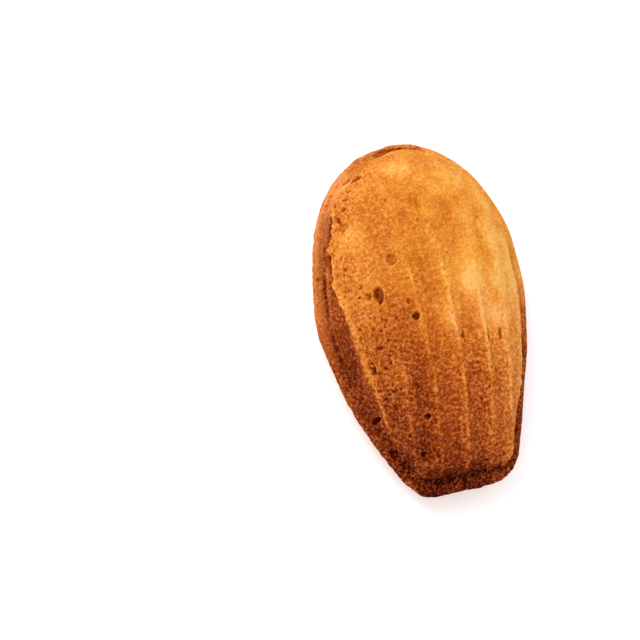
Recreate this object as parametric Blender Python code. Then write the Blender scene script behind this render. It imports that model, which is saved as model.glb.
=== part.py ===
"""A madeleine: a small sponge cake baked in a shell-shaped mould.

It lies on the crown of its flat side, with the ribbed shell up. The hinge of the shell points along -Y and
the wide, round end along +Y. The origin is at the middle of its box, on the surface that it rests on.
Metres, +Z up.
"""

import math
from collections import namedtuple

import bmesh
import bpy
import numpy as np
from mathutils import Vector, noise
from mathutils.geometry import interpolate_bezier

# Driving dimensions
LENGTH = 0.0776  # hinge edge to wide end
SKEW = 0.06  # how far the right side lies towards the wide end, for each metre across
END_RIM = 0.0021  # the flange of batter that spread over the top of the mould, at the wide end
FOOT_RIM = 0.0035  # the same flange at the hinge
RIM_THICKNESS = 0.0026
CHANNEL_DEPTH = 0.0007  # the hollow between the rim's bead and the wall of the shell
CHANNEL_WIDTH = 0.0012  # a channel that is narrower than this is shallower too
ROUND_HANDLE = 0.5523  # handle length that makes a Bezier curve a quarter of an ellipse

# fullness is how far the curve at the widest place runs down the flank,
# end_handle is how full the wide end is: a quarter of an ellipse at ROUND_HANDLE, and squarer above it
Side = namedtuple("Side", "half_width widest_y taper fullness end_handle rim corner_rim")
SIDES = {  # the cake is a little fuller on its left, and its rim a little wider there
    -1: Side(0.0243, 0.0028, 0.46, 0.0130, 0.600, 0.0031, 0.0029),
    1: Side(0.0229, 0.0080, 0.34, 0.0155, 0.552, 0.0026, 0.0018),
}
Corner = namedtuple("Corner", "hinge_edge behind length")
RIM_CORNERS = {-1: Corner(0.0064, 0.0138, 0.0056), 1: Corner(0.0059, 0.0133, 0.0049)}
FOOT_CORNERS = {-1: Corner(0.0060, 0.0134, 0.0050), 1: Corner(0.0094, 0.0131, 0.0024)}

SHELL_HALF_WIDTH = 0.0208
SHELL_HEIGHT = 0.0145  # crown of the shell above the channel
SHELL_FULLNESS = 2.15  # how flat the shell stays across its crown
WALL_STEEPNESS = 2.3  # how upright the wall of the shell is
SQUARENESS = 3  # how late the rounds of the shell take on the corners of its foot
CENTRE_Y = 0.0030  # crown of the shell and of the belly

RIB_RADIUS = 0.0200  # half the width of the ribbed shell, where the ribs are counted
RIB_ANGLE = math.radians(20)  # from one rib to the next, seen along the cake
RIB_FAN = 6.0  # how the ribs spread towards the wide end, for each metre of length
RIB_DEPTH = 0.00070  # of the grooves at the hinge
RIB_FADE = 0.6  # share of that depth that is lost at the wide end
RIB_END = 3  # rings over which the grooves run out above the foot of the wall

BELLY_DEPTH = 0.0050  # the hump that rose on the flat side
REST_SHARE = 0.34  # share of the belly that has settled flat

LUMP_SIZE = 0.0110
LUMP_HEIGHT = 0.00030
EDGE_WANDER = 0.00020  # how far the outline strays from the mould's
EDGE_WAVES = ((5, 0.4), (9, 2.0), (14, 4.1))  # waves round the cake, and where each starts
RIM_WANDER = 0.00030  # how far the rim rises and falls
RIM_WAVES = ((3, 1.1), (7, 3.0))

# Mesh
AROUND = 124
DOME_RINGS = 21
CHANNEL_RINGS = 3
BEAD_RINGS = 5
BELLY_RINGS = 8
RINGS = DOME_RINGS + CHANNEL_RINGS + BEAD_RINGS + BELLY_RINGS
CURVE_STEPS = 60

CRUST_COLOUR = (0.66, 0.27, 0.06, 1.0)
CRUST_ROUGHNESS = 0.6


def clear_scene():
    for obj in list(bpy.data.objects):
        bpy.data.objects.remove(obj)


def smooth(t):
    """0 to 1 with level ends."""
    t = min(max(t, 0.0), 1.0)
    return t * t * (3 - 2 * t)


def half_outline(side, inner):
    """Points of the rim, or of the shell inside it, from the wide end round one side to mid-hinge."""
    shape = SIDES[side]
    if inner:
        rim, corner_rim, end_rim, foot_rim = shape.rim, shape.corner_rim, END_RIM, FOOT_RIM
    else:
        rim = corner_rim = end_rim = foot_rim = 0
    turn = (FOOT_CORNERS if inner else RIM_CORNERS)[side]
    end = Vector((0, LENGTH / 2 - end_rim))
    widest = Vector((shape.half_width - rim, shape.widest_y))
    hinge = Vector((0, foot_rim - LENGTH / 2))
    further_up = foot_rim + turn.length - RIM_CORNERS[side].length
    shoulder = hinge + Vector((turn.behind + shape.taper * further_up - corner_rim, turn.length))
    corner = hinge + Vector((turn.hinge_edge, 0))
    flank = Vector((shape.taper, 1))
    across = Vector((widest.x, 0)) * shape.end_handle
    along = Vector((0, end.y - widest.y)) * shape.end_handle
    round_off = turn.length * ROUND_HANDLE
    stretches = (
        (end, end + across, widest + along, widest),
        (widest, widest - Vector((0, shape.fullness)), shoulder + flank * shape.fullness, shoulder),
        (shoulder, shoulder - flank * round_off, corner + Vector((round_off, 0)), corner),
        (corner, corner.lerp(hinge, 1 / 3), corner.lerp(hinge, 2 / 3), hinge),
    )
    points = [end]
    for stretch in stretches:
        points += interpolate_bezier(*stretch, CURVE_STEPS)[1:]
    return np.array([(side * point.x, point.y) for point in points])


def outline(inner):
    """Points at equal steps counter-clockwise round an outline, with the wide end a quarter of the way."""
    halves = [half_outline(side, inner) for side in (-1, 1)]
    steps = [np.linalg.norm(np.diff(half, axis=0), axis=1) for half in halves]
    travelled = [np.insert(step.cumsum(), 0, 0) for step in steps]
    points = []
    for index in range(AROUND):
        turn = (index / AROUND - 0.25) % 1.0  # 0 at the wide end and 0.5 at the hinge
        side = int(turn >= 0.5)
        along = min(turn, 1 - turn) * 2 * travelled[side][-1]
        points.append(Vector([np.interp(along, travelled[side], column) for column in halves[side].T]))
    return points


def inward_normals(points):
    """Unit normals that point into a counter-clockwise outline."""
    normals = []
    for index in range(len(points)):
        along = points[(index + 1) % len(points)] - points[index - 1]
        normals.append(Vector((-along.y, along.x)).normalized())
    return normals


def wander(index, waves):
    """A slow swing between -1 and 1 round the cake."""
    turn = 2 * math.pi * index / AROUND
    return sum(math.sin(count * turn + start) for count, start in waves) / len(waves)


class Section:
    """One slice of the cake, from its centre out through the foot of the shell to the edge of the rim."""

    def __init__(self, index, edge, foot, inward):
        stray = inward * EDGE_WANDER * wander(index, EDGE_WAVES)
        self.centre = Vector((0, CENTRE_Y))
        self.edge = edge + stray
        self.foot = foot + stray
        self.inward = inward
        self.bead_top = self.edge + inward * RIM_THICKNESS / 2
        self.rim_base = BELLY_DEPTH + RIM_WANDER * wander(index, RIM_WAVES)
        self.channel_depth = CHANNEL_DEPTH * smooth((self.bead_top - self.foot).length / CHANNEL_WIDTH)
        self.channel_floor = self.rim_base + RIM_THICKNESS - self.channel_depth

    def oval(self, towards):
        """Where the way from the centre towards a point crosses an oval as long and wide as the shell."""
        way = (towards - self.centre).normalized()
        if way.y > 0:
            reach = LENGTH / 2 - END_RIM - CENTRE_Y
        else:
            reach = LENGTH / 2 - FOOT_RIM + CENTRE_Y
        return self.centre + way / math.hypot(way.x / SHELL_HALF_WIDTH, way.y / reach)

    def out(self, edge, share):
        """A share of the way from the centre to an edge. The rounds start oval and end with its corners."""
        return self.centre.lerp(self.oval(edge).lerp(edge, share**SQUARENESS), share)

    def dome(self, share):
        """share is 0 at the crown and 1 at the foot of the wall."""
        rise = max(1 - share**SHELL_FULLNESS, 0) ** (1 / WALL_STEEPNESS)
        crown = BELLY_DEPTH + RIM_THICKNESS - CHANNEL_DEPTH + SHELL_HEIGHT
        return self.out(self.foot, share), self.channel_floor + (crown - self.channel_floor) * rise

    def channel(self, share):
        """From the foot of the wall out to the top of the rim's bead."""
        return self.foot.lerp(self.bead_top, share), self.channel_floor + self.channel_depth * smooth(share)

    def bead(self, share):
        """From the top of the bead, round the outer edge, to its underside."""
        radius = RIM_THICKNESS / 2
        angle = math.pi * (0.5 - share)
        ground = self.edge + self.inward * radius * (1 - math.cos(angle))
        return ground, self.rim_base + radius * (1 + math.sin(angle))

    def belly(self, share):
        """share is 1 at the rim and 0 at the middle of the belly."""
        rise = smooth((share - REST_SHARE) / (1 - REST_SHARE))
        return self.out(self.bead_top, share), self.rim_base * rise

    def point(self, ring):
        """Where this section meets a ring, from 0 at the crown to RINGS + 1 at the middle of the belly."""
        below = ring - DOME_RINGS
        if below <= 0:
            ground, height = self.dome(math.sin(math.pi / 2 * ring / DOME_RINGS))
        elif below <= CHANNEL_RINGS:
            ground, height = self.channel(below / CHANNEL_RINGS)
        elif below <= CHANNEL_RINGS + BEAD_RINGS:
            ground, height = self.bead((below - CHANNEL_RINGS) / BEAD_RINGS)
        else:
            ground, height = self.belly((RINGS + 1 - ring) / (BELLY_RINGS + 1))
        return Vector((ground.x, ground.y, height))


def groove(place):
    """Depth of the grooves between the ribs: nothing on a rib, and the most midway between two."""
    spread = RIB_RADIUS * (1 + RIB_FAN * place.y)
    turn = math.asin(min(max(place.x / spread, -1), 1))
    wave = (1 - math.cos(2 * math.pi * turn / RIB_ANGLE)) / 2
    fade = 1 - RIB_FADE * smooth((place.y + LENGTH / 2) / LENGTH)
    return RIB_DEPTH * fade * wave


def shape_cake(bm):
    """Moves the rings of a round sphere onto the sections of the cake. Returns the ring of each vertex."""
    edges = outline(inner=False)
    feet = outline(inner=True)
    sections = [Section(i, *parts) for i, parts in enumerate(zip(edges, feet, inward_normals(edges)))]
    rings = {}
    for vertex in bm.verts:
        ring = round(math.acos(min(max(vertex.co.z, -1), 1)) / math.pi * (RINGS + 1))
        index = round(math.atan2(vertex.co.y, vertex.co.x) / (2 * math.pi) * AROUND) % AROUND
        vertex.co = sections[index].point(ring)
        rings[vertex] = ring
    return rings


def roughen(bm, rings):
    """Sinks the grooves into the shell and swells soft lumps all over, but not where it rests."""
    bm.normal_update()
    moves = {}
    for vertex, ring in rings.items():
        lift = LUMP_HEIGHT * noise.noise(vertex.co / LUMP_SIZE)
        if ring < DOME_RINGS:
            lift -= groove(vertex.co) * smooth((DOME_RINGS - ring) / RIB_END)
        moves[vertex] = vertex.normal * lift
    for vertex, move in moves.items():
        if vertex.co.z > 0:
            vertex.co += move
            vertex.co.z = max(vertex.co.z, 0)


def skew_and_centre(bm):
    """Leans the cake a little to one side, as it left the mould, and puts its middle over the origin."""
    for vertex in bm.verts:
        vertex.co.y += SKEW * vertex.co.x
    for axis in (0, 1):
        values = [vertex.co[axis] for vertex in bm.verts]
        middle = (min(values) + max(values)) / 2
        for vertex in bm.verts:
            vertex.co[axis] -= middle


def crust_material():
    material = bpy.data.materials.new("golden_crust")
    material.use_nodes = True
    shader = material.node_tree.nodes["Principled BSDF"]
    shader.inputs["Base Color"].default_value = CRUST_COLOUR
    shader.inputs["Roughness"].default_value = CRUST_ROUGHNESS
    shader.inputs["Metallic"].default_value = 0.0
    return material


def build_madeleine(collection):
    bm = bmesh.new()
    bmesh.ops.create_uvsphere(bm, u_segments=AROUND, v_segments=RINGS + 1, radius=1)
    rings = shape_cake(bm)
    roughen(bm, rings)
    skew_and_centre(bm)
    mesh = bpy.data.meshes.new("madeleine")
    bm.to_mesh(mesh)
    bm.free()
    mesh.shade_smooth()
    mesh.materials.append(crust_material())
    cake = bpy.data.objects.new("madeleine", mesh)
    collection.objects.link(cake)


def main():
    clear_scene()
    collection = bpy.data.collections.new("madeleine_cake")
    bpy.context.scene.collection.children.link(collection)
    build_madeleine(collection)


main()
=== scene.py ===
# %% [markdown]
# # A madeleine
#
# A madeleine is a small sponge cake with a shell's ribs on one side and a hump on the other. This lesson
# takes the plain solid of the cake, bakes a crust on it, and lights it in a small white studio. The solid
# already has the right size and outline, so what we add is what an oven adds: a grain, pores, a crumbly
# foot and a browned skin that is palest where the batter was thickest. Shade in the hollows and light on
# the crests are painted into that skin as well.

# %% The solid that we start from
import math

import bpy
import numpy as np
from mathutils import Matrix, Vector, noise


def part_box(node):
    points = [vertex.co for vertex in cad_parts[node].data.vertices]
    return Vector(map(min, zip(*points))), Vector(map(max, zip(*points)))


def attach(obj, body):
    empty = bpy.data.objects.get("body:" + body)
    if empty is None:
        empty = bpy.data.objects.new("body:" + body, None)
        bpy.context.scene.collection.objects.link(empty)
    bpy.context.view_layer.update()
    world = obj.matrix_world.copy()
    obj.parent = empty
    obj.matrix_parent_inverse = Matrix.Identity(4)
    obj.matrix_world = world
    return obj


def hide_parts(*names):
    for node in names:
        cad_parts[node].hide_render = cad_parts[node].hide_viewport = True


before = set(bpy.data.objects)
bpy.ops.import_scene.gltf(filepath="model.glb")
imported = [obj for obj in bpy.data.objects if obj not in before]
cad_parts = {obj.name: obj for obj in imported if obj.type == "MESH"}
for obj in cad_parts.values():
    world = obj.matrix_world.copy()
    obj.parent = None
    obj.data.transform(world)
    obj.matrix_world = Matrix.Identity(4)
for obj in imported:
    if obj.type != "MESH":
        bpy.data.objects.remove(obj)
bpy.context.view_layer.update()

MM = 0.001
CAKE = "madeleine"

low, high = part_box(CAKE)
length, width, height = high.y - low.y, high.x - low.x, high.z - low.z
print(f"the cake is {length / MM:.1f} mm long, {width / MM:.1f} wide and {height / MM:.1f} high")

# %% [markdown]
# ## The camera
#
# The camera looks down on the shell, a little from the hinge end and from the left, so that one flank of
# the cake and its foot show. It is placed by two angles round the cake, then rolled about its own line of
# sight. A long lens keeps the shape of the cake true. The cake isn't in the middle of the picture: the
# camera is moved sideways for that, because a lens shift would stay behind when somebody looks from
# another side.

# %% Camera
CAMERA_AZIMUTH = math.radians(-45)
CAMERA_ELEVATION = math.radians(70)
CAMERA_ROLL = math.radians(35.6)
CAMERA_DISTANCE = 374 * MM
CAMERA_ASIDE = Vector((-23.0, -2.2)) * MM  # to its own right and up, off the cake
LENS = 100  # millimetres, on a sensor 36 mm wide

middle = (low + high) / 2
away = Vector((
    math.sin(CAMERA_AZIMUTH) * math.cos(CAMERA_ELEVATION),
    -math.cos(CAMERA_AZIMUTH) * math.cos(CAMERA_ELEVATION),
    math.sin(CAMERA_ELEVATION),
))
turn = away.to_track_quat("Z", "Y").to_matrix() @ Matrix.Rotation(CAMERA_ROLL, 3, "Z")

bpy.ops.object.camera_add()
camera = bpy.context.object
camera.name = "camera"
camera.data.lens = LENS
camera.data.clip_start = 0.01
camera.data.clip_end = 20
camera.location = middle + away * CAMERA_DISTANCE + turn @ CAMERA_ASIDE.to_3d()
camera.rotation_euler = turn.to_euler()
bpy.context.scene.camera = camera
print("camera at", [round(c / MM) for c in camera.location], "mm")

# %% [markdown]
# ## The studio
#
# Cakes like this are shot on white. The white room gives most of the light, so that no flank goes black.
# One large soft lamp, beyond the wide end and to the left, skims over the crust and brings out its ribs
# and its grain. The floor is a sheet of white card.

# %% Studio
FLOOR_SIDE = 4.0
FLOOR_WHITE = (0.93, 0.93, 0.93, 1)
FLOOR_ROUGHNESS = 0.9
FLOOR_GLOW = 0.22  # light that comes up through the card and thins the shadow
ROOM_LIGHT = 1.0
WINDOW_SPOT = (-0.55, 0.7, 0.85)
WINDOW_SIDE = 0.6
WINDOW_WATTS = 9.0
WINDOW_TINT = (1.0, 0.985, 0.96)


def lamp(name, spot, side, watts, tint):
    """A square area light at a spot, that looks at the cake."""
    bpy.ops.object.light_add(type="AREA", location=spot)
    light = bpy.context.object
    light.name = name
    light.data.size = side
    light.data.energy = watts
    light.data.color = tint
    light.rotation_euler = (Vector(spot) - middle).to_track_quat("Z", "Y").to_euler()
    return light


def plain_material(name, colour, roughness, glow):
    material = bpy.data.materials.new(name)
    material.use_nodes = True
    shader = material.node_tree.nodes["Principled BSDF"]
    shader.inputs["Base Color"].default_value = colour
    shader.inputs["Roughness"].default_value = roughness
    shader.inputs["Emission Color"].default_value = colour
    shader.inputs["Emission Strength"].default_value = glow
    return material


bpy.ops.object.select_all(action="DESELECT")
bpy.ops.mesh.primitive_plane_add(size=FLOOR_SIDE, location=(0, 0, 0))
floor = bpy.context.object
floor.name = "floor_card"
floor.data.materials.append(plain_material("white_card", FLOOR_WHITE, FLOOR_ROUGHNESS, FLOOR_GLOW))

window = lamp("window", WINDOW_SPOT, WINDOW_SIDE, WINDOW_WATTS, WINDOW_TINT)

world = bpy.data.worlds.new("white_room")
world.use_nodes = True
world.node_tree.nodes["Background"].inputs["Color"].default_value = (1, 1, 1, 1)
world.node_tree.nodes["Background"].inputs["Strength"].default_value = ROOM_LIGHT
bpy.context.scene.world = world
bpy.context.scene.view_settings.view_transform = "Standard"
print(f"the window is {(window.location - middle).length:.2f} m from the cake")

# %% [markdown]
# ## A finer copy of the cake
#
# The solid has large facets, too coarse for a crust. We copy it, weld the loose triangles, join them into
# quads again and let Subdivision Surface round them. Its rings crowd together at the crown, though, and
# lie far apart on the flanks. A voxel remesh lays an even net of small squares over everything, and that
# is what sculptors use too: wherever we press a pore, the net is fine enough.

# %% The net of small squares
WELD = 0.001 * MM
NET = 0.32 * MM
NET_SOFTENING = 5


def only(piece):
    """Makes this piece the one that the next operators work on."""
    bpy.ops.object.select_all(action="DESELECT")
    piece.select_set(True)
    bpy.context.view_layer.objects.active = piece


def apply_modifier(piece, kind, **settings):
    only(piece)
    modifier = piece.modifiers.new(kind.lower(), kind)
    for setting, value in settings.items():
        setattr(modifier, setting, value)
    bpy.ops.object.modifier_apply(modifier=modifier.name)


cake = bpy.data.objects.new("madeleine_crust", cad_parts[CAKE].data.copy())
bpy.context.scene.collection.objects.link(cake)
cake.data.materials.clear()
only(cake)
bpy.ops.object.mode_set(mode="EDIT")
bpy.ops.mesh.select_all(action="SELECT")
bpy.ops.mesh.remove_doubles(threshold=WELD)
bpy.ops.mesh.tris_convert_to_quads(face_threshold=math.pi, shape_threshold=math.pi)
bpy.ops.object.mode_set(mode="OBJECT")
apply_modifier(cake, "SUBSURF", levels=2, render_levels=2)
apply_modifier(cake, "REMESH", mode="VOXEL", voxel_size=NET)
apply_modifier(cake, "SMOOTH", factor=0.5, iterations=NET_SOFTENING)
print(len(cake.data.polygons), "squares in the net")

# %% [markdown]
# ## Reading and moving the net
#
# Most of the sculpting below is done by moving every point of the net a little along its normal. These
# helpers read the points as one table of numbers and move them.

# %% Points and moves


def table_of(items, name):
    """One row of three numbers for each item."""
    table = np.empty(len(items) * 3, np.float32)
    items.foreach_get(name, table)
    return table.reshape(-1, 3).astype(float)


def points_of(piece):
    return table_of(piece.data.vertices, "co")


def normals_of(piece):
    return table_of(piece.data.vertex_normals, "vector")


def place(piece, points):
    """Moves the points to new places, and lets none go below the table."""
    points[:, 2] = np.maximum(points[:, 2], 0)
    piece.data.vertices.foreach_set("co", points.astype(np.float32).ravel())
    piece.data.update()


def lift(piece, heights):
    """Moves each point along its normal by its own height."""
    place(piece, points_of(piece) + normals_of(piece) * heights[:, None])


smooth_points = points_of(cake)
smooth_normals = normals_of(cake)
print(len(smooth_points), "points")

# %% [markdown]
# ## Soft masks
#
# A baker would say: the shell, the wall, the rim, the foot at the hinge, the underside. In numbers each
# of these is a soft mask, 1 where the part is and 0 elsewhere. All masks are made with the three
# functions here, and a soft random value keeps their edges from looking ruled.

# %% Fades, bands, bells and unevenness


def fade(values, start, end):
    """0 before start and 1 past end, with a smooth change between them. Start may lie above end."""
    t = np.clip((values - start) / (end - start), 0, 1)
    return t * t * (3 - 2 * t)


def band(values, start, full, still_full, end):
    """0 up to start, 1 from full to still_full, and 0 again from end on."""
    return fade(values, start, full) * fade(values, end, still_full)


def bell(values, middle_value, spread):
    """1 at the middle value, and less the further the values lie from it."""
    return np.exp(-(((values - middle_value) / spread) ** 2))


def uneven(points, size, seed):
    """A soft random value from about -1 to 1 at each point, in blotches of this size."""
    shift = Vector((seed * 7.3, seed * 3.1, seed * 5.7))
    return np.array([noise.noise(Vector(p) / size + shift) for p in points])


blots = uneven(smooth_points, 5 * MM, 11)
print("unevenness from", blots.min().round(2), "to", blots.max().round(2))

# %% [markdown]
# ## Hollows
#
# The channel between the wall and the rim is found by its shape: it lies below its surroundings. For that
# each point is averaged with its neighbours on the net, a few times over, and compared with the result.

# %% Blurring over the net, and what lies below it
edge_ends = np.empty(len(cake.data.edges) * 2, np.int32)
cake.data.edges.foreach_get("vertices", edge_ends)
first_ends, second_ends = edge_ends.reshape(-1, 2).T


def blur(values, rounds):
    """Averages each point with its neighbours on the net, again and again."""
    count = len(values)
    neighbours = np.bincount(first_ends, minlength=count) + np.bincount(second_ends, minlength=count)
    for _ in range(rounds):
        sums = np.bincount(first_ends, values[second_ends], count)
        sums += np.bincount(second_ends, values[first_ends], count)
        values = (values + sums) / (neighbours + 1)
    return values


def blurred_points(piece, rounds):
    points = points_of(piece)
    return np.stack([blur(points[:, axis], rounds) for axis in range(3)], axis=1)


def hollows(piece, rounds):
    """How far each point lies below the mean of its surroundings, in millimetres. Bumps are negative."""
    return ((blurred_points(piece, rounds) - points_of(piece)) * normals_of(piece)).sum(axis=1) / MM


CHANNEL_ROUNDS = 9

hollow = hollows(cake, CHANNEL_ROUNDS)
print("hollows to", hollow.max().round(2), "mm")

# %% [markdown]
# ## Where is what
#
# The regions follow from the place and the tilt of each point. Heights are above the table, and y runs
# along the cake from the hinge to the wide end.

# %% The regions of the cake
x, y, z = (smooth_points / MM).T
tilt = smooth_normals[:, 2]

RIM_TOP = 7.6  # millimetres above the table

under = fade(tilt, 0.0, -0.35) * fade(z, 7.0, 5.5)
rim = fade(z, RIM_TOP + 0.7, RIM_TOP - 0.2) * (1 - under)
foot = fade(y, -31.0, -34.5) * fade(z, 10.0, 7.8) * (1 - under)
channel = fade(hollow, 0.02, 0.22) * fade(z, 10.5, 8.0) * (1 - under)
left, right = fade(x, -8, -12), fade(x, 8, 12)
right_flank = fade(x + y / 3, 2, 14)  # the smooth, pale side, broader towards the wide end
print("channel on", round(float((channel > 0.5).mean()) * 100, 1), "% of the points")

# %% [markdown]
# ## The torn edge and the crevice
#
# On the left the pale crust of the shell ends above the rim, in a torn edge with one long tooth. Towards
# the hinge the tear calms down to a smooth ridge. Under the edge is a bare, browner wall, and above it a
# porous shoulder. At the wide end a short crevice opens between the shell and the rim.

# %% Masks for the torn edge and the crevice
EDGE_ALONG = (-28, -24, -20, -16, -7, 0, 3, 8, 13, 16, 19, 21.5, 24)  # millimetres, from the hinge on
EDGE_HEIGHT = (7.7, 9.3, 11.2, 12.2, 13.0, 13.1, 12.5, 11.0, 9.7, 10.0, 10.3, 9.6, 8.2)
TOOTH_PLACE, TOOTH_WIDTH, TOOTH_LENGTH = 16.2, 1.0, 2.6
JAGS = ((2.5, 1), (1.3, 2), (0.8, 3))  # the size of the jags in millimetres, and a seed

wall_top = np.interp(y, EDGE_ALONG, EDGE_HEIGHT) - TOOTH_LENGTH * bell(y, TOOTH_PLACE, TOOTH_WIDTH)
torn = fade(y, -6, 5)  # 0 where the edge is a smooth ridge
jagged = sum(size * 0.6 * uneven(smooth_points, size * MM, seed) for size, seed in JAGS)
above_tear = z - wall_top + jagged * (0.12 + 0.88 * torn)
softness = 1.4 - 1.2 * torn
edged = left * fade(y, -29, -21)
bare_wall = (0.4 * left + 0.6 * edged) * fade(above_tear / softness, 1, -1) * (1 - under)
lip = edged * bell(above_tear, 0.6, 0.6) * (1 - rim) * (1 - under)
under_lip = edged * bell(above_tear, -0.9, 0.8) * (1 - rim) * (1 - under)
shoulder = left * fade(np.abs(z - wall_top - 2.5), 4.0, 1.5) * fade(y, -30, -20) * (1 - under)

along_end = y + 0.02 * x**2  # the same all along the round of the wide end
along_end += 1.1 * uneven(smooth_points, 1.5 * MM, 4) + 0.8 * uneven(smooth_points, 0.8 * MM, 5)
crevice = band(along_end, 34.8, 35.4, 37.7, 38.1) * fade(z, 11.0, 9.8)
crevice = crevice * fade(np.abs(x - 0.8), 7.0, 3.5) * (1 - under)
print("bare wall on", round(float((bare_wall > 0.5).mean()) * 100, 1), "% of the points")

# %% [markdown]
# ## Where the rim grew into the shell
#
# At the wide end on the left there is no channel: the batter filled it. It is shallower on the right
# flank and on the left towards the hinge, too. There we pull the points towards the mean of a wide
# surrounding, as the Smooth brush of a sculptor does.

# %% The filled channel
FILLING_ROUNDS = 46

filled = fade(y, 21, 26) * fade(x, 1, -4)
filled += 0.7 * fade(y, 2, 14) * fade(x, 5, 8)
filled += 0.4 * left * fade(y, -9, -17)
filled = filled * fade(z, 14, 10) * (1 - under)
points = points_of(cake)
place(cake, points + (blurred_points(cake, FILLING_ROUNDS) - points) * filled[:, None])
channel = channel * (1 - filled)
print("channel left on", round(float((channel > 0.5).mean()) * 100, 1), "% of the points")

# %% [markdown]
# ## Ribs
#
# The solid has shallow grooves between its ribs. On the real cake each rib also has a narrow crest, where
# batter ran into a corner of the tin. The ribs are counted by an angle round the long axis of the cake.
# On the right flank, near the hinge, the crust is also drawn into fine slits along the ribs.

# %% Ribs
RIB_STEP = math.radians(20)
RIB_RADIUS, RIB_SPREAD = 20.0, 0.006  # half width in millimetres, and its growth for each millimetre along
CREST_WIDTH = 0.075  # as a share of the way from one rib to the next
CREST_HEIGHT, GROOVE_DEPTH, SLIT_DEPTH = 0.26 * MM, 0.03 * MM, 0.30 * MM

rib_turn = np.arcsin(np.clip(x / (RIB_RADIUS * (1 + RIB_SPREAD * y)), -1, 1)) / RIB_STEP
rib_turn -= 0.15 * fade(y, 10, -20) + 0.12 * fade(y, -29, -10) + 0.06 * fade(y, -8, 4)  # a little askew
from_crest = np.abs(rib_turn - np.round(rib_turn))  # 0 on a crest and 0.5 in a groove

wavering = 0.65 + 0.5 * uneven(smooth_points, 5 * MM, 3)
wavering += 0.6 * uneven(smooth_points, 1.5 * MM, 6) * fade(y, -4, -12)
ribbed = 0.35 * fade(x + 0.35 * y, 14, -2) * fade(x, -14, -6) + fade(y, 14, -8) * fade(x, -15, -4)
ribbed = np.clip(ribbed, 0, 1) * fade(z, 8.0, 11.0) * (1 - under) * np.clip(wavering, 0, 1)
crest = bell(from_crest, 0, CREST_WIDTH) * ribbed * (1 - 0.25 * fade(y, -18, -28))
groove = fade(from_crest, 0.15, 0.45) * ribbed
slits = uneven(smooth_points * (1, 0.12, 1), 0.55 * MM, 15)
slits = slits * fade(x, 7, 12) * fade(y, 4, -6) * fade(z, 9, 11)
lift(cake, CREST_HEIGHT * crest - GROOVE_DEPTH * groove + SLIT_DEPTH * slits)
print("crests on", round(float((crest > 0.3).mean()) * 100, 1), "% of the points")

# %% [markdown]
# ## Lumps and grain
#
# Batter that sets against a tin keeps a print of it, but never a perfect one. Displace modifiers push the
# net in and out by soft textures: wide lumps first, then the grain of the crust in two sizes, and crumbs
# where it is rough. A vertex group tells a modifier how strongly to work at each point, so the rim, the
# smooth flank and the underside, which rose free in the oven, stay calm.

# %% Lumps and grain


def paint_group(piece, name, weights):
    group = piece.vertex_groups.new(name=name)
    for index, weight in enumerate(np.clip(weights, 0, 1).tolist()):
        if weight > 0.001:
            group.add((index,), weight, "REPLACE")
    return name


def clouds(name, size, depth=2):
    texture = bpy.data.textures.new(name, "CLOUDS")
    texture.noise_scale = size
    texture.noise_depth = depth
    texture.noise_basis = "ORIGINAL_PERLIN"
    texture.noise_type = "SOFT_NOISE"
    return texture


def emboss(piece, texture, depth, group=""):
    """Pushes the net along its normals: out where the texture is light and in where it is dark."""
    apply_modifier(
        piece, "DISPLACE", texture=texture, texture_coords="LOCAL", strength=depth, mid_level=0.5,
        direction="NORMAL", vertex_group=group,
    )


calm = 0.6 * under + 0.35 * fade(x + 0.4 * y, 2, 16) + (0.75 - 0.3 * left * fade(y, 16, 8)) * rim
rough = foot + 0.1 * rim + 0.65 * shoulder + 0.5 * crevice
rough += 0.35 * fade(x, 4, -10) * fade(y, -6, 8) + 0.4 * left * fade(y, -6, -14) * fade(z, 12, 9)
grainy = paint_group(cake, "grainy", 1 - calm)
crumbly = paint_group(cake, "crumbly", rough)
emboss(cake, clouds("lumps", 6.0 * MM), 0.5 * MM, grainy)
emboss(cake, clouds("grain", 1.6 * MM), 0.35 * MM, grainy)
emboss(cake, clouds("fine_grain", 1.0 * MM, depth=1), 0.45 * MM, grainy)
emboss(cake, clouds("crumbs", 1.9 * MM, depth=3), 1.6 * MM, crumbly)
print("crumbly on", round(float((rough > 0.5).mean()) * 100, 1), "% of the points")

# %% [markdown]
# ## The large holes
#
# Bubbles that reached the tin left round holes in the crust. The large ones are known by their place, so
# we press them one by one: a point within the hole's radius sinks, steeply at the edge and less in the
# middle.

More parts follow.
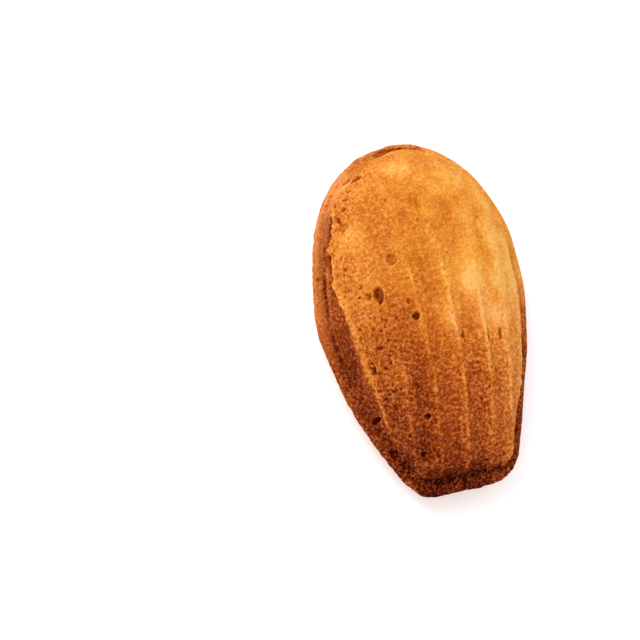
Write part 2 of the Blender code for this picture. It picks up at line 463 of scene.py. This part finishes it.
# %% The large holes
HOLES = (  # along x and y, width across, length along the cake, depth, in millimetres
    (-12.6, 2.4, 2.2, 4.1, 0.9),
    (-6.3, -3.5, 1.7, 1.8, 0.8),
    (-14.3, 2.6, 1.0, 1.4, 0.5),
    (-7.2, -0.1, 0.9, 1.5, 0.4),
    (-12.1, -3.0, 1.0, 1.1, 0.35),
    (-8.6, 9.3, 2.3, 3.0, 0.45),
    (-18.9, 13.4, 1.2, 3.6, 0.3),
    (-16.0, 21.2, 0.7, 2.6, 0.5),
    (-15.8, 19.2, 2.0, 2.4, 0.4),
    (-10.0, 30.5, 1.8, 1.6, 0.5),
    (-15.6, -12.3, 0.9, 2.0, 0.6),
    (-7.0, -23.7, 1.3, 1.3, 0.55),
    (-8.3, -30.7, 1.3, 1.3, 0.6),
    (12.4, 16.6, 1.2, 0.9, 0.3),
    (12.0, 11.9, 1.0, 0.8, 0.25),
    (-15.5, -21.5, 1.2, 1.4, 0.5),
    (-13.0, -28.9, 2.0, 2.6, 0.5),
    (11.5, -9.2, 0.75, 3.2, 0.55),
    (8.6, -9.0, 0.7, 3.4, 0.4),
    (3.0, -9.0, 0.7, 3.0, 0.35),
    (-14.8, 23.5, 1.0, 1.4, 0.5),
    (-13.8, 25.6, 1.2, 1.1, 0.4),
    (-12.6, 27.8, 0.9, 1.4, 0.45),
    (-17.3, 9.8, 1.2, 1.0, 0.4),
)
DROP = 0.35  # how much narrower a hole is at its end towards the hinge


def hole_share(points, hole):
    """1 in the middle of a hole and 0 outside it, on the upper side of the cake."""
    hole_x, hole_y, across, along, _ = hole
    forward = (points[:, 1] / MM - hole_y) / along * 2
    sideways = (points[:, 0] / MM - hole_x) / across * 2 / (1 + DROP * np.clip(forward, -1, 1))
    ragged = 0.12 * uneven(points, 0.9 * MM, 21)
    return fade(np.hypot(forward, sideways) + ragged, 1.05, 0.65) * (smooth_normals[:, 2] > 0)


hole_depth = np.zeros(len(smooth_points))
for hole in HOLES:
    hole_depth = np.maximum(hole_depth, hole_share(smooth_points, hole) * hole[4])
lift(cake, -hole_depth * MM)
print(len(HOLES), "large holes, the deepest", round(hole_depth.max(), 1), "mm")

# %% [markdown]
# ## The small pores
#
# The many small pores only need a rule. A Voronoi pattern has one centre in each cell, and the points
# near a centre sink. How many of the cells have a pore depends on the place: most on the shoulder and
# near the hinge.

# %% The small pores
PORE_CELL = 1.25 * MM
PORE_DEPTH = 0.24 * MM


def pores(points, cell, share, growth):
    """1 in the middle of a pore and 0 outside, for that share of the cells. Each pore has its own size."""
    depth = np.zeros(len(points))
    bend = [0.35 * uneven(points, 0.8 * MM, seed) for seed in (31, 32)]
    for index, point in enumerate(points):
        spot = Vector(point) / cell + Vector((bend[0][index], bend[1][index], 0))
        distances, centres = noise.voronoi(spot)
        if noise.cell(centres[0] * 37.0) % 1.0 < share[index]:
            radius = (0.18 + 0.22 * (noise.cell(centres[0] * 91.0) % 1.0)) * growth[index]
            depth[index] = max(0.0, 1 - (distances[0] / radius) ** 2)
    return depth


pore_share = 0.16 + 0.45 * shoulder * fade(y, -16, -2) + 0.3 * foot + 0.35 * fade(y, 0, -28)
pore_share = np.clip(pore_share - 0.14 * right_flank, 0.03, 0.9) * (1 - under)
pore = pores(smooth_points, PORE_CELL, pore_share, 1 + 0.2 * shoulder)
lift(cake, -pore * (1 + 0.5 * shoulder) * PORE_DEPTH)
print("share of the crust in small pores:", round(float((pore > 0).mean()), 3))

# %% [markdown]
# ## Pressing the torn edge and the crevice
#
# The lip of the torn crust stands up a little, and the bare wall below it lies deeper. With the shape
# complete, we measure how deep each point lies in the grain, for painted shade in the dents and painted
# light on the bumps.

# %% The torn edge and the crevice
LIP_HEIGHT, TEAR_DEPTH, CREVICE_DEPTH = 0.25 * MM, 0.50 * MM, 0.7 * MM
DENT_ROUNDS = 2

sunken = bare_wall * (1 - rim) * (0.15 + 0.85 * torn)
lift(cake, LIP_HEIGHT * lip - CREVICE_DEPTH * crevice - TEAR_DEPTH * sunken)
only(cake)
bpy.ops.object.shade_smooth()
dents = hollows(cake, DENT_ROUNDS)
print("dents of the grain to", dents.max().round(2), "mm")

# %% [markdown]
# ## Where the oven browned it, and where shade and light are painted
#
# A crust browns most where the batter was thin and near the metal: at the hinge, on the rim and down the
# walls. It stays pale at the wide end and on the right flank, and some pale spots never touched the tin.
# How brown the crust is, from 0 for pale to 1 for burnt, is worked out once for each point. The same number
# also carries painted shade in the hollows and painted highlights on the crests and the lip. We start with
# its course along the cake, and then each step adds something or takes it away.

# %% Along the cake, and in spots
ALONG = (-39, -34, -30, -24, -18, -12, -6, 0, 6, 12, 24, 37)  # millimetres, from the hinge to the wide end
BROWN_ALONG = (0.98, 0.89, 0.80, 0.76, 0.73, 0.66, 0.57, 0.53, 0.48, 0.43, 0.38, 0.36)
PALE_SPOTS = (  # along x and y, radius across and along, in millimetres, how much paler (minus: darker)
    (-2.4, 30.2, 3.2, 2.2, 0.34),
    (6.2, 3.8, 3.3, 4.9, 0.42),
    (0.6, -4.9, 2.0, 2.5, 0.22),
    (10.0, -5.5, 2.5, 3.2, 0.20),
    (-15.1, 16.5, 2.5, 3.5, 0.24),
    (5.5, 25.0, 4.5, 5.0, 0.15),
    (-9.5, 21.5, 2.5, 3.5, 0.08),
    (-11.5, 27.5, 4.0, 4.0, 0.12),
    (-7.6, -32.8, 2.4, 1.6, 0.14),
    (-11.2, -31.8, 2.6, 2.4, -0.14),
    (-15.0, 1.0, 2.5, 5.0, 0.07),
    (-2.0, 18.0, 5.0, 7.0, 0.03),
)

brown_and_shading = np.interp(y, ALONG, BROWN_ALONG)
pale = np.zeros(len(smooth_points))
for spot_x, spot_y, wide, long, paler in PALE_SPOTS:
    pale += paler * bell(x, spot_x, wide) * bell(y, spot_y, long)
brown_and_shading -= pale
print("before the details, browning from", brown_and_shading.min().round(2), "to", brown_and_shading.max().round(2))

# %% [markdown]
# The shell comes next. The crests of the ribs are paler than the grooves, partly from their own paler crust
# and partly from a painted highlight along each crest, and at the wide end, where the ribs have run out,
# their places still show as faint stripes.

# %% On the shell
brown_and_shading -= 0.22 * fade(x, 4, 14)
brown_and_shading -= 0.15 * np.maximum(fade(x, -8, 0) * fade(y, 8, -2), fade(x, 11, 17) * fade(y, 16, 6))
brown_and_shading -= 0.05 * fade(x, 11, 14) * fade(y, 16, 10) + 0.06 * band(y, -4, 3, 12, 22)
brown_and_shading += 0.10 * fade(x, -2, -12) * fade(y, 8, 18) + 0.10 * fade(x, -8, -15) * fade(y, -10, -24)
brown_and_shading -= (0.12 - 0.06 * fade(y, -17, -23)) * fade(x, -8, -12) * fade(y, -9, -15)
brown_and_shading -= 0.05 * fade(x, -7, -10) * band(y, -34, -29, -19, -15) * fade(z, 13, 11)
brown_and_shading += 0.09 * fade(z, 13.0, 9.5) * fade(y, -26, -31) * (1 - rim)

streaks = uneven(smooth_points * (1, 0.3, 1), 1.3 * MM, 14)
stripes = (fade(from_crest, 0.1, 0.4) - 0.5) * band(y, -8, 4, 20, 32) * fade(x, -8, -2) * fade(z, 9, 12)
# paler crests: partly their own paler crust, partly a painted highlight along each crest
brown_and_shading += 0.03 * groove - (0.20 + 0.05 * fade(x, -2, 2)) * crest
brown_and_shading += 0.07 * stripes + 0.05 * streaks * fade(x, -8, 0) + 0.10 * slits
print("with the ribs, browning from", brown_and_shading.min().round(2), "to", brown_and_shading.max().round(2))

# %% [markdown]
# The bare wall, the rim and the foot are browner than the shell, each with its own course along the cake:
# the left rim is pale at the wide end, and the right one darkens towards the hinge, partly browned and
# partly with painted shade from the shell. The channel and the crevice are darkened with painted shade,
# as is the band under the torn lip, and the lip gets a paler tone, partly pale torn crust and partly a
# painted highlight.

# %% On the wall, the channel, the rim and the foot
brown_and_shading += (0.22 - 0.12 * fade(y, -12, -22)) * bare_wall * (1 - rim)
brown_and_shading -= 0.07 * left * bare_wall * fade(y, -18, -24)
# painted shade under the torn lip, a little paler under the smooth ridge; the lip paler, partly pale torn
# crust and partly a painted highlight
brown_and_shading += (0.16 * torn - 0.06) * under_lip - (0.14 + 0.06 * fade(y, 2, -6)) * lip

beside_wall = left * band(y, -8, -3, 9, 14)
# painted shade in the channel, deepest beside the bare wall, and in the crevice at the wide end
channel_shade = (0.22 - 0.13 * foot) * (1 - 0.5 * left * fade(y, -9, -17))
channel_shade += 0.12 * beside_wall - 0.05 * left * fade(y, -4, -12)
brown_and_shading += channel_shade * channel + 0.14 * crevice

# the right rim: browner towards the hinge, and on its outer side painted shade from the shell as well as
# browning
right_rim_brown_and_shade = np.maximum(fade(y, 24, 2) * (0.4 + 0.6 * fade(y, 8, -2)), fade(tilt, 0.6, 0.1))
rim_brown_and_shade = 0.08 + 0.35 * right * right_rim_brown_and_shade + 0.05 * beside_wall
rim_brown_and_shade += left * (0.07 * band(y, -26, -20, -12, -4) - 0.12 * fade(y, 16, 24))
brown_and_shading += rim_brown_and_shade * rim

brown_and_shading += 0.05 * foot * (1 - fade(x, 3, -6)) - 0.16 * fade(np.abs(x), 5, 11) * fade(y, -30, -34)
print("with the rim, browning from", brown_and_shading.min().round(2), "to", brown_and_shading.max().round(2))

# %% [markdown]
# Last come the marks of the grain: pores, holes and dents are darkened with painted shade, and bumps get a
# little painted light. Soft blotches of a few sizes break up what is still too even. The underside has one
# tone of its own.

# %% In the grain
UNDER_BROWN = 0.55

# painted shade in the pores and holes, then in the dents, with painted light on the bumps
brown_and_shading += (0.12 + 0.04 * shoulder) * pore + 0.22 * fade(hole_depth, 0.05, 0.8)
brown_and_shading += np.clip(dents * 1.1, -0.12, 0.16)
blotches = (0.06 * blots + 0.05 * uneven(smooth_points, 1.6 * MM, 12)) * (1 - 0.3 * fade(y, -5, -15))
blotches += 0.13 * fade(x + y / 2, -4, 10) * uneven(smooth_points, 2.6 * MM, 16)
brown_and_shading = (brown_and_shading + blotches) * (1 - under) + (UNDER_BROWN + 0.5 * blotches) * under
print("browning from", brown_and_shading.min().round(2), "to", brown_and_shading.max().round(2))

# %% [markdown]
# ## Dust, pits and grit
#
# The crust is dry and dusty in places: it has a pale, pinkish bloom where fine crumbs stuck to it, most
# on the rim and at both ends. Two more masks say where the skin is pitted and where its grain stands out.

# %% Dust, pitting and grit
dust = 0.10 + 0.35 * fade(x, -4, -14) + 0.35 * fade(x, 13, 19) * fade(y, 12, 2)
dust += 0.20 * fade(x, 6, 14) * fade(y, 0, -10) + 0.32 * fade(y, -6, -24) + 0.3 * fade(y, 22, 32)
dust += (0.45 + 0.6 * left * fade(y, 14, 22)) * rim + 0.5 * filled * left * fade(y, -2, 10)
dust += 0.2 * bare_wall + 0.3 * foot + 0.3 * lip + 0.4 * pale - 0.5 * channel
dust += 0.25 * uneven(smooth_points, 3 * MM, 13)
dust = dust * (1 - fade(hole_depth, 0.05, 0.3))
most_dust = 0.85 + 0.15 * rim * left * (0.4 * fade(y, -8, 0) + 0.6 * fade(y, 12, 20))

pitting = 0.25 + 0.75 * np.maximum(shoulder, foot) - 0.2 * right_flank - 0.25 * under

grit = 0.45 + fade(y, 2, -14) * (0.25 + 0.25 * fade(x, -4, 6))
grit -= 0.15 * right_flank * (1 - under) + 0.3 * under
grit *= (1 - 0.6 * fade(hole_depth, 0.1, 0.4)) * (1 - 0.5 * filled * fade(y, -2, 10))
grit *= (1 - 0.3 * bare_wall) * (1 - 0.4 * rim * left * fade(y, 8, 16)) * np.clip(1 - 2 * pale, 0, 1)
print("dusty on", round(float((dust > 0.5).mean()) * 100, 1), "% of the points")

# %% [markdown]
# ## Attributes
#
# All of this is stored with the mesh, one number at each point, as if painted on by hand. The material
# reads it back. One more attribute, rosy, marks the hinge end of the shell, where the crust has a warmer
# tint.

# %% The attributes of the crust


def store(piece, name, values):
    attribute = piece.data.attributes.new(name, "FLOAT", "POINT")
    attribute.data.foreach_set("value", np.clip(values, 0, 1).astype(np.float32))


# the browning, with the painted shade and painted highlights added into it
store(cake, "browning_and_shading", brown_and_shading)
store(cake, "dust", np.minimum(dust, most_dust) * (1 - under))
store(cake, "pitting", pitting)
store(cake, "grit", grit)
store(cake, "rosy", fade(x, -8, 0) * fade(y, 6, -6) * (1 - under))
print("attributes:", [a.name for a in cake.data.attributes if a.data_type == "FLOAT"])

# %% [markdown]
# ## The crust's colour
#
# One ramp runs from pale yellow through gold and orange-brown to nearly black. Everything that changes
# the colour only moves along that ramp: the browning, the grain, and the shade and light painted into
# the hollows and onto the crests. So all the tones stay a family, as the tones of a real crust do, which
# are the same batter baked a little longer. A second ramp holds the paler colours of the fine crumbs on it.

# %% Node helpers


class Nodes:
    """Adds nodes to a material or group, and links them."""

    def __init__(self, tree):
        self.tree = tree

    def add(self, kind, inputs=(), **settings):
        node = self.tree.nodes.new(kind)
        for setting, value in settings.items():
            setattr(node, setting, value)
        for socket, value in dict(inputs).items():
            if isinstance(value, bpy.types.NodeSocket):
                self.tree.links.new(value, node.inputs[socket])
            else:
                node.inputs[socket].default_value = value
        return node

    def maths(self, operation, first, second=0.0, third=0.0, clamp=False):
        inputs = {0: first, 1: second, 2: third}
        return self.add("ShaderNodeMath", inputs, operation=operation, use_clamp=clamp).outputs[0]

    def spread(self, value, low, high, to_low=0.0, to_high=1.0):
        """Stretches the values from low to high over another range, and cuts off what lies outside."""
        node = self.add("ShaderNodeMapRange", {"Value": value, 1: low, 2: high, 3: to_low, 4: to_high})
        return node.outputs["Result"]

    def ramp(self, value, stops):
        node = self.add("ShaderNodeValToRGB", {"Fac": value})
        elements = node.color_ramp.elements
        while len(elements) < len(stops):
            elements.new(0.5)
        for element, (position, colour) in zip(elements, stops):
            element.position = position
            element.color = (*colour, 1)
        return node.outputs["Color"]


def new_group(name, inputs, outputs):
    """An empty group. Inputs are names and values, outputs are names, and all are plain numbers."""
    group = bpy.data.node_groups.new(name, "ShaderNodeTree")
    for title, value in inputs:
        socket = group.interface.new_socket(title, in_out="INPUT", socket_type="NodeSocketFloat")
        socket.default_value = value
    for title in outputs:
        group.interface.new_socket(title, in_out="OUTPUT", socket_type="NodeSocketFloat")
    return group, Nodes(group)


# %% [markdown]
# ## The grain
#
# The grain is a shader group, because the crust uses it twice, in two sizes.

# %% Grain group
PIT_CELLS = (  # name, how much finer than the grain, radius, and the dice that a cell has to beat
    ("Pits", 1.0, 0.34, 0.45),
    # pale specks, which stand for glints on the crust and are painted
    ("Painted_glints", 0.77, 0.22, 0.62),
)


def grain_group():
    """The fine unevenness of baked crumb: worm-like grains, round pits here and there and a few pale specks
    that are painted glints.
    """
    group, make = new_group("crumb_grain", (("Size", 1.0 * MM),), ("Grain", "Pits", "Painted_glints"))
    size = make.add("NodeGroupInput").outputs["Size"]
    here = make.add("ShaderNodeTexCoord").outputs["Object"]
    scale = make.maths("DIVIDE", 1.0, size)
    noise_inputs = {"Vector": here, "Scale": scale, "Detail": 3.0, "Roughness": 0.65, "Distortion": 0.0}
    worms = make.add("ShaderNodeTexNoise", noise_inputs)
    bend = {0: size, 4: here, 5: worms.outputs["Color"]}
    bent = make.add("ShaderNodeMix", bend, data_type="VECTOR").outputs[1]
    ends = {"Grain": make.spread(worms.outputs[0], 0.31, 0.69)}
    for name, finer, radius, least in PIT_CELLS:
        cell_scale = make.maths("MULTIPLY", scale, finer)
        cells = make.add("ShaderNodeTexVoronoi", {"Vector": bent, "Scale": cell_scale})
        dice = make.add("ShaderNodeSeparateColor", {0: cells.outputs["Color"]}).outputs[0]
        chosen = make.spread(dice, least, least + 0.1)
        discs = make.spread(cells.outputs["Distance"], radius, radius / 3)
        ends[name] = make.maths("MULTIPLY", discs, chosen)
    leave = make.add("NodeGroupOutput")
    for name, socket in ends.items():
        group.links.new(socket, leave.inputs[name])
    return group


GRAIN = grain_group()
print("the grain group puts out", [i.name for i in GRAIN.interface.items_tree if i.in_out == "OUTPUT"])

# %% [markdown]
# ## The material
#
# The grain moves the tone up and down the ramp, more where the grit is high, and its pits are darkened with
# painted shade. The bloom of fine crumbs lies on the tops of the grains, with pale specks among them as
# painted glints, and only where the dust is thickest does it cover everything. The same grain, with its
# pits, is the height of the bumps.

# %% The crust material
CRUST_TONES = (  # how brown, the crust's colour there, and the colour of the fine crumbs on it
    (0.00, (0.79, 0.405, 0.0950), (0.88, 0.50, 0.25)),
    (0.15, (0.72, 0.284, 0.0370), (0.82, 0.42, 0.20)),
    (0.30, (0.62, 0.210, 0.0225), (0.78, 0.35, 0.155)),
    (0.45, (0.496, 0.132, 0.0120), (0.70, 0.27, 0.105)),
    (0.60, (0.351, 0.072, 0.0070), (0.58, 0.195, 0.073)),
    (0.75, (0.202, 0.030, 0.0028), (0.43, 0.125, 0.046)),
    (0.88, (0.108, 0.0115, 0.0010), (0.30, 0.075, 0.027)),
    (1.00, (0.041, 0.0020, 0.0002), (0.18, 0.040, 0.013)),
)
ROSY_TINT = (1.0, 0.92, 1.08, 1)  # what the colour is multiplied by where the crust is rosy
GRAIN_SIZE, CRUMB_SIZE = 0.62 * MM, 0.90 * MM
LEAST_SWING, GRIT_SWING = 0.16, 0.40  # how far the grain moves the tone, without grit and added by it
DARK_GAPS, PALE_TOPS = 0.32, 0.62  # the grain's own range, between the grains and on them
# how far down the ramp the pits are painted, as shade
PAINTED_PIT_SHADE = 0.2
THICK_DUST, THICK_BLOOM = 0.85, 0.42  # from there on the bloom covers everything, up to this share
BUMP_STRENGTH, BUMP_HEIGHT, PIT_BUMP = 0.9, 0.14 * MM, 1.5
ROUGHNESS, SHINE = 0.75, 0.02


def crust_material():
    material = bpy.data.materials.new("golden_crust")
    material.use_nodes = True
    make = Nodes(material.node_tree)
    shader = material.node_tree.nodes["Principled BSDF"]
    # the browning value here also holds the painted shade and painted highlights
    browning_and_shading, dust, pitting, grit, rosy = (
        make.add("ShaderNodeAttribute", attribute_name=name).outputs["Fac"]
        for name in ("browning_and_shading", "dust", "pitting", "grit", "rosy")
    )
    grain = make.add("ShaderNodeGroup", {"Size": GRAIN_SIZE}, node_tree=GRAIN)
    crumb = make.add("ShaderNodeGroup", {"Size": CRUMB_SIZE}, node_tree=GRAIN)
    pits = make.maths("MULTIPLY", crumb.outputs["Pits"], pitting)

    swing = make.maths("MULTIPLY_ADD", grit, GRIT_SWING, LEAST_SWING)
    gaps = make.spread(grain.outputs["Grain"], 0.5, 0.0, 0.0, DARK_GAPS)
    tops = make.spread(grain.outputs["Grain"], 0.5, 1.0, 0.0, PALE_TOPS)
    worms = make.maths("MULTIPLY", make.maths("SUBTRACT", gaps, tops), swing)
    tone = make.maths("ADD", browning_and_shading, worms)
    # painted shade in the pits
    tone = make.maths("ADD", tone, make.maths("MULTIPLY", pits, PAINTED_PIT_SHADE), clamp=True)
    crust = make.ramp(tone, [(at, colour) for at, colour, _ in CRUST_TONES])

    crumbs = make.ramp(browning_and_shading, [(at, colour) for at, _, colour in CRUST_TONES])
    # pale crumbs on the grain tops, and the specks as painted glints; none in the pits, to keep their
    # painted shade
    pale_grains_and_glints = make.spread(grain.outputs["Grain"], 0.45, 1.0)
    pale_grains_and_glints = make.maths("MAXIMUM", pale_grains_and_glints, grain.outputs["Painted_glints"])
    bloom_and_glints = make.maths("MULTIPLY", make.maths("SUBTRACT", pale_grains_and_glints, pits, clamp=True), dust, clamp=True)
    bloom_and_glints = make.maths("MAXIMUM", bloom_and_glints, make.spread(dust, THICK_DUST, 1.0, 0.0, THICK_BLOOM))
    mixed = make.add("ShaderNodeMix", {0: bloom_and_glints, 6: crust, 7: crumbs}, data_type="RGBA").outputs[2]
    tint = {0: rosy, 6: mixed, 7: ROSY_TINT}
    tinted = make.add("ShaderNodeMix", tint, data_type="RGBA", blend_type="MULTIPLY").outputs[2]

    relief = make.maths("SUBTRACT", grain.outputs["Grain"], make.maths("MULTIPLY", pits, PIT_BUMP))
    bump = make.add("ShaderNodeBump", {"Height": relief, "Strength": BUMP_STRENGTH, "Distance": BUMP_HEIGHT})
    material.node_tree.links.new(tinted, shader.inputs["Base Color"])
    material.node_tree.links.new(bump.outputs["Normal"], shader.inputs["Normal"])
    shader.inputs["Roughness"].default_value = ROUGHNESS
    shader.inputs["Specular IOR Level"].default_value = SHINE
    return material


cake.data.materials.append(crust_material())
print("crust with", len(CRUST_TONES), "tones")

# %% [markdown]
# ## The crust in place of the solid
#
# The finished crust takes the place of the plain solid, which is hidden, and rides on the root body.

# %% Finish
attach(cake, "root")
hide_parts(CAKE)
